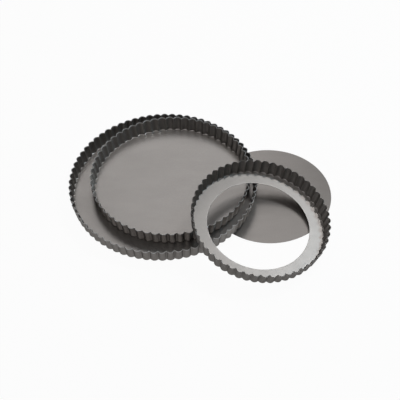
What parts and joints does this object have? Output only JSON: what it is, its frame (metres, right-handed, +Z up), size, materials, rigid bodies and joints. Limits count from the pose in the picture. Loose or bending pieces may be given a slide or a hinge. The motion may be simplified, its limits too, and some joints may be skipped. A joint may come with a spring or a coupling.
{
  "type": "loose-bottom tart pan set",
  "caption": "Graduated fluted tart pans of coated sheet steel, each a ring with an inward ledge and a flat loose base that is pushed up through it.",
  "frame": {"origin": "on the table under the middle of the set's bounding box", "axes": "+Z up from the table, +X to the right along the row from the large pan to the small base, +Y to the back"},
  "size_m": [0.3892, 0.3264, 0.0591],
  "materials": {
    "ring_coating": "satin dark grey non-stick coating on pressed sheet steel, with a thin pale line on the raw rim",
    "base_coating": "satin grey non-stick coating on flat sheet steel"
  },
  "bodies": {
    "large_ring": {"large_ring": "ring_coating"},
    "large_base": {"large_base": "base_coating"},
    "medium_ring": {"medium_ring": "ring_coating"},
    "medium_base": {"medium_base": "base_coating"},
    "small_ring": {"small_ring": "ring_coating"},
    "small_base": {"small_base": "base_coating"}
  },
  "joints": [
    {"name": "large_base_lift", "type": "slide", "parent": "large_ring", "child": "large_base", "axis": [-0.0045, 0.0003, 1], "range_m": [0, 0.05]},
    {"name": "medium_pan_lift", "type": "slide", "parent": "large_base", "child": "medium_ring", "axis": [-0.0045, 0.0003, 1], "range_m": [0, 0.05]},
    {"name": "medium_base_lift", "type": "slide", "parent": "medium_ring", "child": "medium_base", "axis": [-0.0045, 0.0003, 1], "range_m": [0, 0.05]},
    {"name": "small_ring_lift", "type": "slide", "parent": "medium_base", "child": "small_ring", "axis": [0, 0, 1], "range_m": [0, 0.05]},
    {"name": "small_base_slide", "type": "slide", "parent": "large_ring", "child": "small_base", "axis": [0.9979, -0.0645, 0], "range_m": [0, 0.08]}
  ]
}
